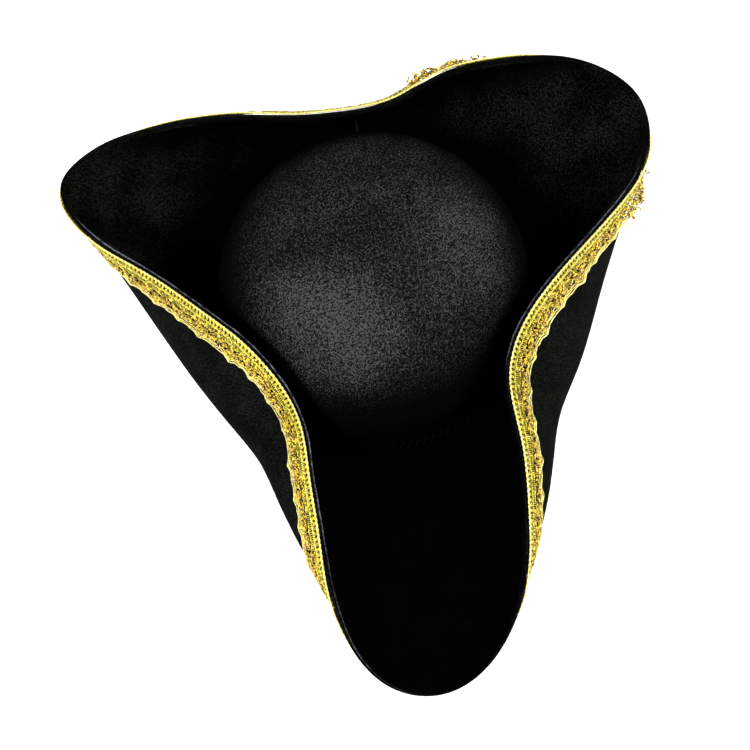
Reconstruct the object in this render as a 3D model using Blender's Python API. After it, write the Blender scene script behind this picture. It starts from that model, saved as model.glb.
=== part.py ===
"""A costume tricorn hat: a blocked felt crown on a three-ply brim that is turned up on three sides and
edged with gold lace. Metres, +Z up, the front point towards -Y. The hat rests on the flat ring of brim
round the head opening, and its origin is the middle of its bounding box at that level."""

import math

import bpy
import numpy as np

# Head opening and crown
HEAD_RADIUS = 0.0925
CROWN_FELT = 0.0025
CROWN_DOME = 0.0715  # from the top of its upright wall
CROWN_FULLNESS = 0.8  # 1 is a half ellipsoid, smaller is fuller at the shoulder
CROWN_SIDES = 36
CROWN_RINGS = 8

# Brim: three plies, from the face that looks down and out to the face that looks up and in
UNDER_FELT = 0.0018
CORE = 0.0010
UPPER_FELT = 0.0012
FLAT_BAND = 0.0080  # the flat ring of brim round the head opening
FLAP_HEIGHT = 0.0870
RIBS = 60
FOLD_ROWS = 7
FOLD_SAMPLES = 81  # along one rib, before its rows are chosen
EDGE_SAMPLES = 40  # along the edge between two ribs
EVENNESS = 9  # how many times a turn the fold may change; a higher number makes it lumpier
GAP = 0.0003  # between pieces that touch

# The brim's edge, going round from the front point over the hat's left side, which is +X.
# Each point: degrees from the front, reach beyond the head opening, rise as a share of FLAP_HEIGHT,
# and belly, which is how far the fold below stands out beyond the edge (negative in the open points).
FRONT_POINT = ((0, 0.1580, 0.21, -0.030), (9, 0.1420, 0.25, -0.022), (15, 0.1190, 0.33, -0.005))
LEFT_FLAP = (
    (22, 0.0800, 0.51, 0.018),
    (30, 0.0410, 0.70, 0.037),
    (40, 0.0105, 0.89, 0.047),
    (53, 0.0035, 1.00, 0.049),
    (68, 0.0085, 0.98, 0.045),
    (83, 0.0265, 0.87, 0.031),
    (97, 0.0625, 0.70, 0.014),
)
LEFT_POINT = ((108, 0.0995, 0.55, -0.008), (118, 0.1150, 0.48, -0.030), (128, 0.1045, 0.55, -0.008))
BACK_FLAP = (
    (140, 0.0705, 0.71, 0.009),
    (153, 0.0350, 0.86, 0.024),
    (166, 0.0060, 0.97, 0.031),
    (182, 0.0008, 0.99, 0.036),
    (198, 0.0095, 0.94, 0.034),
    (212, 0.0360, 0.82, 0.022),
    (225, 0.0730, 0.64, 0.008),
)
RIGHT_POINT = ((235, 0.1020, 0.53, -0.008), (242, 0.1115, 0.48, -0.030), (251, 0.0875, 0.55, -0.004))
RIGHT_FLAP = (
    (262, 0.0415, 0.70, 0.019),
    (277, 0.0135, 0.86, 0.031),
    (295, 0.0005, 0.99, 0.033),
    (313, 0.0005, 0.98, 0.033),
    (326, 0.0110, 0.79, 0.036),
    (334.5, 0.0378, 0.60, 0.031),
    (340.5, 0.0750, 0.44, 0.012),
    (346.2, 0.1233, 0.31, -0.007),
    (352.5, 0.1500, 0.23, -0.026),
)
EDGE_POINTS = FRONT_POINT + LEFT_FLAP + LEFT_POINT + BACK_FLAP + RIGHT_POINT + RIGHT_FLAP
OPEN_BELLY = -0.030  # at and below this the brim isn't turned up
FULL_BELLY = 0.030  # at and above this it is turned up fully
OPEN_FOLD_RISE, FULL_FOLD_RISE = 0.60, 0.22  # height of the fold's belly over the edge's
OPEN_FOLD_SWING, FULL_FOLD_SWING = 0.35, 1.10  # how far the brim runs out before it climbs

# Gold lace on the brim's outer face, measured along the brim from its edge
LACE_LIFT = 0.0005
PICOT_DEPTH = 0.0006
PICOT_RADIUS = 0.00055
HEADING_TOP = 0.0017
HEADING_WIDTH = 0.0050
HEADING_THICKNESS = 0.0008
GIMP_GAP = 0.0004
GIMP_WIDTH = 0.0085
SHELL_DEPTH = 0.0035  # how much further the shells reach than the gimp between them
GIMP_THICKNESS = 0.0016
LACE_MARGIN = 0.0049
STITCH_RADIUS = 0.00030
STITCH_SWING = 0.0010

# Sweatband and its label
BAND_THICKNESS = 0.0009
BAND_HEIGHT = 0.0320
BAND_FOOT = 0.0008
BAND_CLEARANCE = 0.0007
LABEL_WIDTH = 0.0240
LABEL_HEIGHT = 0.0180
LABEL_THICKNESS = 0.0004
LABEL_FOOT = 0.0090
LABEL_SPANS = 4

# Threads
SEAM_STITCHES = 40
SEAM_RADIUS = 0.00040
SEAM_RISE = 0.0050
SEAM_FOOT = 0.0016
BAND_STITCHES = 40
BAND_STITCH_FOOT = 0.0025
BAND_STITCH_RISE = 0.0030
TACK_DROP = 0.0250  # below the top of the flaps
TACK_RADIUS = 0.0009
TACK_KNOT = 1.7  # knot radius over thread radius
TACK_SPANS = 5
TACK_AZIMUTHS = {"flap_tack_left": 56, "flap_tack_back": 182, "flap_tack_right": 303}

# What follows from them
BRIM_THICKNESS = UNDER_FELT + CORE + UPPER_FELT + 2 * GAP
CROWN_FOOT = BRIM_THICKNESS + GAP
CROWN_WALL = BAND_FOOT + BAND_HEIGHT + BAND_CLEARANCE - CROWN_FOOT  # it rises past the sweatband
HEADING_BOTTOM = HEADING_TOP + HEADING_WIDTH
GIMP_TOP = HEADING_BOTTOM + GIMP_GAP
GIMP_BOTTOM = GIMP_TOP + GIMP_WIDTH
SHELL_BOTTOM = GIMP_BOTTOM + SHELL_DEPTH
LACE_ROOM = SHELL_BOTTOM + LACE_MARGIN  # the last row of the brim, which carries the lace
TACK_HEIGHT = FLAP_HEIGHT - TACK_DROP


def clear_scene():
    for obj in list(bpy.data.objects):
        bpy.data.objects.remove(obj)


def principled(name, colour, roughness, metallic=0.0):
    material = bpy.data.materials.new(name)
    material.use_nodes = True
    shader = material.node_tree.nodes["Principled BSDF"]
    shader.inputs["Base Color"].default_value = (*colour, 1.0)
    shader.inputs["Roughness"].default_value = roughness
    shader.inputs["Metallic"].default_value = metallic
    material.diffuse_color = (*colour, 1.0)
    return material


def add_object(name, mesh, material, crease_degrees=40):
    obj = bpy.data.objects.new(name, mesh)
    bpy.context.scene.collection.objects.link(obj)
    mesh.materials.clear()
    mesh.materials.append(material)
    mesh.shade_smooth()
    mesh.set_sharp_from_angle(angle=math.radians(crease_degrees))
    return obj


def direction(azimuth):
    """Unit vectors in plan, with azimuth in radians from the front towards +X."""
    return np.stack([np.sin(azimuth), -np.cos(azimuth), np.zeros_like(azimuth)], axis=-1)


def cell_faces(a, b, c, d, flipped):
    """Two triangles of the cell a b c d, cut from a to c or, flipped, from b to d."""
    return [(a, b, d), (b, c, d)] if flipped else [(a, b, c), (a, c, d)]


def ring_solid(name, sections, material, flipped=()):
    """A closed ring through sections, an array of closed outlines. The cells in the columns named by
    flipped are cut along the other diagonal, so that facing plies have the same facets."""
    count, size = sections.shape[:2]
    faces = []
    for i in range(count):
        following = (i + 1) % count
        for j in range(size):
            k = (j + 1) % size
            corners = (i * size + j, following * size + j, following * size + k, i * size + k)
            faces += cell_faces(*corners, j in flipped)
    mesh = bpy.data.meshes.new(name)
    mesh.from_pydata(sections.reshape(-1, 3).tolist(), [], faces)
    return add_object(name, mesh, material)


def strip_solid(name, sections, material):
    """A strip through sections, four-cornered outlines, closed at both ends."""
    count, size = sections.shape[:2]
    faces = [tuple(range(size)), tuple(range((count - 1) * size, count * size))[::-1]]
    for i in range(count - 1):
        for j in range(size):
            k = (j + 1) % size
            faces.append((i * size + j, i * size + k, (i + 1) * size + k, (i + 1) * size + j)[::-1])
    mesh = bpy.data.meshes.new(name)
    mesh.from_pydata(sections.reshape(-1, 3).tolist(), [], faces)
    return add_object(name, mesh, material)


def turned_solid(name, profile, sides, material):
    """A profile of (radius, height) turned about +Z. Its first and last points are on the axis."""
    turns = direction(np.arange(sides) * 2 * math.pi / sides)
    vertices = [(0, 0, profile[0][1])]
    for radius, height in profile[1:-1]:
        vertices += [(radius * x, radius * y, height) for x, y, _ in turns.tolist()]
    vertices.append((0, 0, profile[-1][1]))
    last = len(vertices) - 1
    rings = len(profile) - 2
    faces = []
    for i in range(sides):
        k = (i + 1) % sides
        faces.append((0, 1 + i, 1 + k))
        for ring in range(rings - 1):
            upper, lower = 1 + ring * sides, 1 + (ring + 1) * sides
            faces.append((upper + i, lower + i, lower + k, upper + k))
        foot = 1 + (rings - 1) * sides
        faces.append((foot + i, last, foot + k))
    mesh = bpy.data.meshes.new(name)
    mesh.from_pydata(vertices, [], faces)
    return add_object(name, mesh, material)


def thread(name, points, radius, material, closed=True, knots=1.0, sides_step=0):
    """A round thread along points, with its ends made knots times as thick."""
    curve = bpy.data.curves.new(name, "CURVE")
    curve.dimensions = "3D"
    curve.bevel_depth = radius
    curve.bevel_resolution = sides_step
    curve.use_fill_caps = not closed
    spline = curve.splines.new("POLY")
    spline.points.add(len(points) - 1)
    for point, place in zip(spline.points, points):
        point.co = (*place, 1)
    spline.use_cyclic_u = closed
    spline.points[0].radius = spline.points[-1].radius = knots
    guide = bpy.data.objects.new(name + "_guide", curve)
    mesh = bpy.data.meshes.new_from_object(guide)
    bpy.data.objects.remove(guide)
    mesh.name = name
    return add_object(name, mesh, material)


def closed_spline(knots, values, at):
    """Smooth closed curve through values at knots, whose last knot is the first point again."""
    spans = np.diff(knots)
    count = len(spans)
    slopes = (np.roll(values, -1, axis=0) - values) / spans[:, None]
    system = np.zeros((count, count))
    for i in range(count):
        system[i, i - 1] = spans[i - 1]
        system[i, i] = 2 * (spans[i - 1] + spans[i])
        system[i, (i + 1) % count] = spans[i]
    bends = np.linalg.solve(system, 6 * (slopes - np.roll(slopes, 1, axis=0)))
    i = np.clip(np.searchsorted(knots, at, side="right") - 1, 0, count - 1)
    step = (at - knots[i])[:, None]
    span = spans[i][:, None]
    first, second = bends[i], bends[(i + 1) % count]
    start = slopes[i] - span * (2 * first + second) / 6
    return values[i] + step * start + step**2 * first / 2 + step**3 * (second - first) / (6 * span)


def along(points):
    """Distance along points from the first one."""
    return np.r_[0, np.cumsum(np.linalg.norm(np.diff(points, axis=0), axis=1))]


def brim_edge(count):
    """count places equally far apart along the brim's edge, and the belly of the fold at each."""
    azimuth, reach, rise, belly = np.array(EDGE_POINTS).T
    places = direction(np.radians(azimuth)) * (HEAD_RADIUS + reach)[:, None]
    places[:, 2] = rise * FLAP_HEIGHT
    values = np.column_stack([places, belly])
    knots = along(np.vstack([places, places[:1]]))
    fine = closed_spline(knots, values, np.linspace(0, knots[-1], EDGE_SAMPLES * count + 1))
    length = along(fine[:, :3])
    wanted = np.arange(count) * length[-1] / count
    edge = np.column_stack([np.interp(wanted, length, column) for column in fine.T])
    return edge[:, :3], edge[:, 3]


def evened(values):
    """values at equal steps round the brim, without what changes faster than EVENNESS times a turn."""
    waves = np.fft.rfft(values, axis=0)
    waves[EVENNESS + 1 :] = 0
    return np.fft.irfft(waves, len(values), axis=0)


def between(low, high, share):
    return low + (high - low) * share


def bezier(corners, t):
    a, b, c, d = corners
    t = t[:, None]
    return (1 - t) ** 3 * a + 3 * (1 - t) ** 2 * t * b + 3 * (1 - t) * t**2 * c + t**3 * d


def brim_surface():
    """The brim's outer face: places[rib, row] from the head opening to the edge, and its normals,
    which point up and in. Rows 0 and 1 are the flat ring, and the last row carries the lace."""
    edge, belly = brim_edge(RIBS)
    run = np.roll(edge, -1, axis=0) - np.roll(edge, 1, axis=0)
    outward = np.column_stack([run[:, 1], -run[:, 0], np.zeros(RIBS)])
    outward /= np.linalg.norm(outward, axis=1)[:, None]
    turned_up = np.clip((belly - OPEN_BELLY) / (FULL_BELLY - OPEN_BELLY), 0, 1)
    edge_azimuth = np.unwrap(np.arctan2(edge[:, 0], -edge[:, 1]))
    base_azimuth = (edge_azimuth + np.arange(RIBS) * 2 * math.pi / RIBS) / 2
    radial = direction(base_azimuth)
    flat_end = radial * (HEAD_RADIUS + FLAT_BAND)
    wall = edge + outward * belly[:, None]
    wall[:, 2] = edge[:, 2] * between(OPEN_FOLD_RISE, FULL_FOLD_RISE, turned_up)
    span = np.linalg.norm((wall - flat_end)[:, :2], axis=1)
    swing = flat_end + radial * (span * between(OPEN_FOLD_SWING, FULL_FOLD_SWING, turned_up))[:, None]
    wall, swing = evened(wall), evened(swing)
    ribs, leans = [], []
    for i in range(RIBS):
        opening = radial[i] * HEAD_RADIUS
        fine = bezier((flat_end[i], swing[i], wall[i], edge[i]), np.linspace(0, 1, FOLD_SAMPLES))
        length = along(fine)
        rows = np.linspace(0, length[-1] - LACE_ROOM, FOLD_ROWS + 1)
        rows = np.append(rows, length[-1])
        rib = np.column_stack([np.interp(rows, length, column) for column in fine.T])
        lean = np.column_stack([np.interp(rows, length, column) for column in np.gradient(fine, axis=0).T])
        lean[0] = radial[i]
        ribs.append(np.vstack([opening, rib]))
        leans.append(np.vstack([radial[i], lean]))
    places, leans = np.array(ribs), np.array(leans)
    across = np.roll(places, -1, axis=0) - np.roll(places, 1, axis=0)
    normals = np.cross(leans, across)
    normals /= np.linalg.norm(normals, axis=2)[:, :, None]
    return places, normals


def brim_ply(name, surface, bottom, thickness, material):
    """One ply of the brim, from bottom above the outer face to bottom + thickness."""
    places, normals = surface
    rows = places.shape[1]
    lower = places + normals * bottom
    upper = places + normals * (bottom + thickness)
    sections = np.concatenate([lower, upper[:, ::-1]], axis=1)
    return ring_solid(name, sections, material, flipped=range(rows, 2 * rows))


def on_lace_row(surface, step, depth, lift):
    """A point lift outside the brim's outer face and depth in from its edge. Even steps are on the
    ribs, and odd ones where the depth meets the cell's diagonal, so that lace follows the facets."""
    places, normals = surface
    lifted = places - normals * lift
    i = step // 2
    k = (i + 1) % RIBS
    inner, outer, outer_next = lifted[i, -2], lifted[i, -1], lifted[k, -1]
    share = 1 - depth / LACE_ROOM
    return inner + share * ((outer_next if step % 2 else outer) - inner)


def lace_band(name, surface, top, bottoms, thickness, material):
    """A band of lace from depth top to the depths in bottoms, which repeat along the edge."""
    sections = []
    for i in range(2 * RIBS):
        corners = ((top, 0), (top, thickness), (bottoms[i % 2], thickness), (bottoms[i % 2], 0))
        sections.append([on_lace_row(surface, i, d, LACE_LIFT + t) for d, t in corners])
    return ring_solid(name, np.array(sections)[:, ::-1], material)


def lace(surface, gold):
    steps = range(2 * RIBS)
    picot = [on_lace_row(surface, s, PICOT_DEPTH, LACE_LIFT + PICOT_RADIUS) for s in steps]
    thread("lace_picot_cord", picot, PICOT_RADIUS, gold)
    straight = (HEADING_BOTTOM, HEADING_BOTTOM)
    lace_band("lace_heading", surface, HEADING_TOP, straight, HEADING_THICKNESS, gold)
    lace_band("lace_gimp", surface, GIMP_TOP, (GIMP_BOTTOM, SHELL_BOTTOM), GIMP_THICKNESS, gold)
    middle = HEADING_TOP + HEADING_WIDTH / 2
    lift = LACE_LIFT + HEADING_THICKNESS + GAP + STITCH_RADIUS
    swings = [middle + STITCH_SWING * (-1) ** i for i in range(2 * RIBS)]
    stitches = [on_lace_row(surface, s, d, lift) for s, d in zip(steps, swings)]
    thread("lace_stitch_thread", stitches, STITCH_RADIUS, gold)


def crown_side(inset):
    """(radius, height) up the crown's outside, or inset into its felt, without the point on the axis."""
    radius, rise = HEAD_RADIUS + CROWN_FELT - inset, CROWN_DOME - inset
    side = [(radius, CROWN_FOOT)]
    for ring in range(CROWN_RINGS):
        angle = math.pi / 2 * ring / CROWN_RINGS
        height = CROWN_FOOT + CROWN_WALL + rise * math.sin(angle)
        side.append((radius * math.cos(angle) ** CROWN_FULLNESS, height))
    return side


def crown_reach(height, azimuth):
    """Distance from the axis to the crown's flat-sided outside, at a height and an azimuth in radians."""
    radii, heights = np.array(crown_side(0)).T
    facet = 2 * math.pi / CROWN_SIDES
    return np.interp(height, heights, radii) * math.cos(facet / 2) / math.cos(azimuth % facet - facet / 2)


def crown(felt):
    top = CROWN_FOOT + CROWN_WALL + CROWN_DOME
    outside, inside = crown_side(0), crown_side(CROWN_FELT)
    profile = [(0, top)] + outside[::-1] + inside + [(0, top - CROWN_FELT)]
    turned_solid("crown_felt", profile, CROWN_SIDES, felt)


def crown_seam(black):
    """Overcast stitches that climb the crown's foot and step down onto the brim."""
    count = 2 * SEAM_STITCHES
    turns = direction(np.arange(count) * 2 * math.pi / count)
    outside = HEAD_RADIUS + CROWN_FELT + GAP + SEAM_RADIUS
    foot = CROWN_FOOT + SEAM_RADIUS
    points = []
    for i, turn in enumerate(turns):
        high = i % 2
        point = turn * (outside + (0 if high else SEAM_FOOT))
        point[2] = foot + (SEAM_RISE if high else 0)
        points.append(point)
    thread("crown_seam_thread", points, SEAM_RADIUS, black)


def sweatband(leather, black, satin):
    outer = HEAD_RADIUS - BAND_CLEARANCE
    inner = outer - BAND_THICKNESS
    turns = direction(np.arange(CROWN_SIDES) * 2 * math.pi / CROWN_SIDES)
    up = np.array([0, 0, 1])
    low, high = up * BAND_FOOT, up * (BAND_FOOT + BAND_HEIGHT)
    corners = [turns * outer + low, turns * outer + high, turns * inner + high, turns * inner + low]
    ring_solid("sweatband", np.stack(corners, axis=1), leather)

    count = 2 * BAND_STITCHES
    turns = direction(np.arange(count) * 2 * math.pi / count)
    inside = inner * math.cos(math.pi / CROWN_SIDES) - GAP - STITCH_RADIUS
    foot = BAND_FOOT + BAND_STITCH_FOOT
    points = [t * inside + up * (foot + BAND_STITCH_RISE * (i % 2)) for i, t in enumerate(turns)]
    thread("sweatband_thread", points, STITCH_RADIUS, black)

    face = inner * math.cos(math.pi / CROWN_SIDES) - GAP
    back = math.pi
    half = LABEL_WIDTH / 2 / face
    turns = direction(np.linspace(back - half, back + half, LABEL_SPANS + 1))
    low, high = up * LABEL_FOOT, up * (LABEL_FOOT + LABEL_HEIGHT)
    far, near = turns * face, turns * (face - LABEL_THICKNESS)
    strip_solid("blank_label", np.stack([far + low, far + high, near + high, near + low], axis=1), satin)


def flap_tacks(surface, black):
    """A bar of thread from the crown's side to each turned-up side of the brim."""
    places, normals = surface
    inner_face = places + normals * BRIM_THICKNESS
    azimuths = np.degrees(np.unwrap(np.arctan2(places[:, -1, 0], -places[:, -1, 1])))
    for name, azimuth in TACK_AZIMUTHS.items():
        rib = inner_face[int(np.argmin(np.abs(azimuths - azimuth)))]
        climb = rib[int(np.argmax(np.linalg.norm(rib[:, :2], axis=1))) :]
        flap = np.array([np.interp(TACK_HEIGHT, climb[:, 2], column) for column in climb.T])
        outward = flap * (1, 1, 0) / np.linalg.norm(flap[:2])
        knot_foot = TACK_HEIGHT - TACK_KNOT * TACK_RADIUS
        from_crown = crown_reach(knot_foot, math.atan2(flap[0], -flap[1])) + GAP
        to_flap = np.linalg.norm(flap[:2]) - GAP - TACK_RADIUS
        stops = np.linspace(from_crown, to_flap, TACK_SPANS + 1)
        points = [outward * stop + (0, 0, TACK_HEIGHT) for stop in stops]
        thread(name, points, TACK_RADIUS, black, closed=False, knots=TACK_KNOT, sides_step=1)


def centre_on_origin():
    """Moves the hat so that its bounding box is centred over the origin in plan."""
    corners = np.array([v.co for obj in bpy.data.objects for v in obj.data.vertices])
    middle = (corners.min(axis=0) + corners.max(axis=0)) / 2
    for obj in bpy.data.objects:
        obj.location = (-middle[0], -middle[1], 0)


def main():
    clear_scene()
    crown_felt = principled("crown_felt", (0.022, 0.024, 0.024), 0.95)
    brim_felt = principled("brim_felt", (0.006, 0.006, 0.007), 0.95)
    core = principled("core_board", (0.36, 0.36, 0.40), 0.85)
    gold = principled("gold_lace", (0.78, 0.50, 0.06), 0.38, 0.85)
    leather = principled("sweatband_cloth", (0.010, 0.010, 0.011), 0.60)
    black = principled("black_thread", (0.008, 0.008, 0.009), 0.80)
    satin = principled("label_satin", (0.80, 0.79, 0.76), 0.45)

    surface = brim_surface()
    core_bottom = UNDER_FELT + GAP
    upper_bottom = core_bottom + CORE + GAP
    brim_ply("brim_under_felt", surface, 0, UNDER_FELT, brim_felt)
    brim_ply("brim_core", surface, core_bottom, CORE, core)
    brim_ply("brim_upper_felt", surface, upper_bottom, UPPER_FELT, brim_felt)
    lace(surface, gold)
    crown(crown_felt)
    crown_seam(black)
    sweatband(leather, black, satin)
    flap_tacks(surface, black)
    centre_on_origin()


main()
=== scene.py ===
import math

import bpy
import numpy as np
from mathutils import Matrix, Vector


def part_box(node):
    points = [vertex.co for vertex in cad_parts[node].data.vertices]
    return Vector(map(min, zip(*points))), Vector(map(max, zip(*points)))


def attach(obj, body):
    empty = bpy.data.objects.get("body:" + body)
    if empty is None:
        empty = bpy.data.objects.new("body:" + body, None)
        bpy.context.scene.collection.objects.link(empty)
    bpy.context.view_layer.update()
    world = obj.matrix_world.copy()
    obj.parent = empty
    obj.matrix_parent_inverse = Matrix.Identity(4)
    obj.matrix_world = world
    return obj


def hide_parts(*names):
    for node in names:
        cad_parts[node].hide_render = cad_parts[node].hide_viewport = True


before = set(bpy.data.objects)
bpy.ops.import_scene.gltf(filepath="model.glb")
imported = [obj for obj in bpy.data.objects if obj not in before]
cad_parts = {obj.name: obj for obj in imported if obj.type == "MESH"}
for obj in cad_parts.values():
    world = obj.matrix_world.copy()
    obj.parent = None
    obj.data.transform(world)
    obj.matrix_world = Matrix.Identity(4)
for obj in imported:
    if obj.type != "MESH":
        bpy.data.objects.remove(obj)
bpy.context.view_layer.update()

LOW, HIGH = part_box("crown_felt")
AXIS = (LOW + HIGH) / 2  # the crown stands on this axis
SEED = 7

# The hat's sizes in metres, as the CAD model has them
HEAD_RADIUS = 0.0925
CROWN_FELT = 0.0025
CROWN_DOME = 0.0715
CROWN_FULLNESS = 0.8
UNDER_FELT = 0.0018
CORE = 0.0010
UPPER_FELT = 0.0012
GAP = 0.0003
BRIM_THICKNESS = UNDER_FELT + CORE + UPPER_FELT + 2 * GAP
CROWN_FOOT = BRIM_THICKNESS + GAP
FLAT_BAND = 0.0080
FLAP_HEIGHT = 0.0870
EVENNESS = 9  # how many waves round the hat the fold may have
SHELLS = 60  # repeats of the lace
BAND_THICKNESS = 0.0009
BAND_HEIGHT = 0.0320
BAND_FOOT = 0.0008
BAND_CLEARANCE = 0.0007
BAND_OUTER = HEAD_RADIUS - BAND_CLEARANCE
BAND_INNER = BAND_OUTER - BAND_THICKNESS
CROWN_WALL = BAND_FOOT + BAND_HEIGHT + BAND_CLEARANCE - CROWN_FOOT
TACKS = ("left", "back", "right")

# The brim's edge: degrees from the front towards +X, reach beyond the head opening, rise as a share
# of FLAP_HEIGHT, and how far the fold below stands out beyond the edge
FRONT_POINT = ((0, 0.1580, 0.21, -0.030), (9, 0.1420, 0.25, -0.022), (15, 0.1190, 0.33, -0.005))
LEFT_FLAP = (
    (22, 0.0800, 0.51, 0.018),
    (30, 0.0410, 0.70, 0.037),
    (40, 0.0105, 0.89, 0.047),
    (53, 0.0035, 1.00, 0.049),
    (68, 0.0085, 0.98, 0.045),
    (83, 0.0265, 0.87, 0.031),
    (97, 0.0625, 0.70, 0.014),
)
LEFT_POINT = ((108, 0.0995, 0.55, -0.008), (118, 0.1150, 0.48, -0.030), (128, 0.1045, 0.55, -0.008))
BACK_FLAP = (
    (140, 0.0705, 0.71, 0.009),
    (153, 0.0350, 0.86, 0.024),
    (166, 0.0060, 0.97, 0.031),
    (182, 0.0008, 0.99, 0.036),
    (198, 0.0095, 0.94, 0.034),
    (212, 0.0360, 0.82, 0.022),
    (225, 0.0730, 0.64, 0.008),
)
RIGHT_POINT = ((235, 0.1020, 0.53, -0.008), (242, 0.1115, 0.48, -0.030), (251, 0.0875, 0.55, -0.004))
RIGHT_FLAP = (
    (262, 0.0415, 0.70, 0.019),
    (277, 0.0135, 0.86, 0.031),
    (295, 0.0005, 0.99, 0.033),
    (313, 0.0005, 0.98, 0.033),
    (326, 0.0110, 0.79, 0.036),
    (334.5, 0.0378, 0.60, 0.031),
    (340.5, 0.0750, 0.44, 0.012),
    (346.2, 0.1233, 0.31, -0.007),
    (352.5, 0.1500, 0.23, -0.026),
)
EDGE_POINTS = FRONT_POINT + LEFT_FLAP + LEFT_POINT + BACK_FLAP + RIGHT_POINT + RIGHT_FLAP

# The fold's rise as a share of the edge's, and how far the brim swings out before it, as a share of
# the way: for an open side and for a fully turned-up one, told apart by how far the fold stands out
OPEN_BELLY, FULL_BELLY = -0.030, 0.030
OPEN_FOLD_RISE, FULL_FOLD_RISE = 0.60, 0.22
OPEN_FOLD_SWING, FULL_FOLD_SWING = 0.35, 1.10

# How finely the brim and the crown are worked out
RIBS = 360
ROWS = 40
FLAT_SAMPLES = 8
FOLD_SAMPLES = 160
EDGE_SAMPLES = 40
RIM_STEPS = 4
CROWN_SIDES = 160
CROWN_STEPS = 40

# The unevenness of blocked felt
WAVE_HEIGHT = 0.0009
TUCK_HEIGHT = 0.0004
DENT_DEPTH = 0.0008
CORE_HELD_BACK = 0.00045

# Where things differ round the hat. Each entry is degrees from the front towards +X, how many degrees
# each way, and how much: a share for the core, metres for the lace.
# In CORE_SHOWS the share is lower at 72 degrees, on the +X flap: painted shade where less light falls.
CORE_SHOWS = ((72, 30, 0.45), (-64, 45, 0.80), (-11, 4, 0.35))
LACE_SET_IN = ((0, 16, 0.0024), (125, 15, 0.0034), (182, 30, 0.0010), (223, 18, 0.0038))
SAGGING_LACE = ((61, 3.5, 0.0034), (74, 3.0, 0.0020), (300, 3.5, 0.0016), (286, 3.0, 0.0020))
LOOSE_LACE = ((107, 10, 0.0080), (150, 7, 0.0070))
SLACK_LACE = ((60, 14, 0.0012),)

# The lace, drawn flat: depths in from the brim's edge, heights above its floor, and thread radii
LACE_DEPTHS = np.linspace(0, 0.024, 13)
LACE_FLOOR = 0.0005  # above the brim's outer face
EYELETS = 7  # to a shell, and as many picots
PICOT_DEPTH, PICOT_LOOP, PICOT_RADIUS = 0.00075, 0.00060, 0.00052
EYELET_DEPTH = 0.0027
EYELET_HALF = 0.00165
EYELET_HOLE = (0.00086, 0.00122)
EYELET_SIDES = 16
HEADING_CORDS = (0.00478, 0.00552)
HEADING_CORD_RADIUS = 0.00042
BARS = 17
BAR_DEPTHS = (0.0055, 0.0073, 0.0092)
BAR_RADIUS, THICK_BAR_RADIUS = 0.00027, 0.00060
MIDDLE_CORD_DEPTH, MIDDLE_CORD_RADIUS = 0.0095, 0.00034
FAN_LOOPS, FAN_SPREAD, FAN_ROOT = 7, 0.95, 0.0138
FAN_LENGTH, FAN_WIDTH, FAN_RADIUS = 0.0042, 0.00062, 0.00026
SLANTS, SLANT_DEPTHS, SLANT_RADIUS = 9, (0.0096, 0.0122, 0.0140), 0.00024
ROSETTE_DEPTH, ROSETTE_RADIUS = 0.0120, 0.00042
LEAF_RADIUS, CURL_RADIUS = 0.00038, 0.00034
# Curls of one repeat: along the edge from its middle, and depth
CURLS = (
    (0.0064, 0.0134), (-0.0060, 0.0137), (0.0098, 0.0124), (-0.0105, 0.0118), (0.0031, 0.0156),
    (-0.0034, 0.0158), (0.0002, 0.0166), (0.0085, 0.0146), (-0.0088, 0.0148),
)
COVERING_CURLS = (
    (-0.0079, 0.0074), (-0.0052, 0.0084), (-0.0023, 0.0074), (0.0006, 0.0084), (0.0034, 0.0075),
    (0.0062, 0.0083), (0.0090, 0.0074),
)
COVERED_SHARE = 0.55  # of the repeats
# Cream cords along the shells: depth, how much deeper at a tip, radius
SHELL_CORDS = ((0.0181, 0.0020, 0.00036), (0.0166, 0.0025, 0.00030), (0.0153, 0.0024, 0.00028))
SEWING_DEPTH, SEWING_SWING, SEWING_RADIUS = 0.0043, 0.0008, 0.00016
LOOSE_ENDS = 26  # at each loose place

# The label, the stitches and the tacks
LABEL_WIDTH, LABEL_HEIGHT, LABEL_THICKNESS, LABEL_FOOT = 0.0240, 0.0180, 0.0004, 0.0090
LABEL_COLUMNS, LABEL_ROWS = 49, 25
BAND_SIDES, BAND_RIBS = 900, 225
SEAM_STITCHES, SEAM_RADIUS = 120, 0.00034
BAND_STITCHES, BAND_STITCH_RADIUS = 150, 0.00026
TACK_STRANDS, TACK_TWIST, TACK_RADIUS, TACK_KNOT = 4, 7, 0.00042, 0.0016

# The camera, whose aim is measured from the foot of the crown's axis, and the studio
CAMERA_AZIMUTH, CAMERA_ELEVATION, CAMERA_DISTANCE = -9.27, 72.33, 1.100
CAMERA_AIM = (-0.0094, -0.0622, 0.050)
LENS, SENSOR = 89.1, 36
LIGHT_AIM = (0, 0, 0.05)
LIGHT_SIZE = 0.9
KEY_PLACE, KEY_POWER = (-1.50, -0.55, 1.45), 96
FILL_PLACE, FILL_POWER = (1.50, 0.05, 1.45), 88
WORLD_LIGHT = 0.14
FLOOR_HALF = 6
FLOOR_LEVEL = -0.0002  # just under the felt, so that the two faces don't lie in one plane


def linked(name, data):
    obj = bpy.data.objects.new(name, data)
    bpy.context.scene.collection.objects.link(obj)
    return obj


# -------------------- camera

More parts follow.
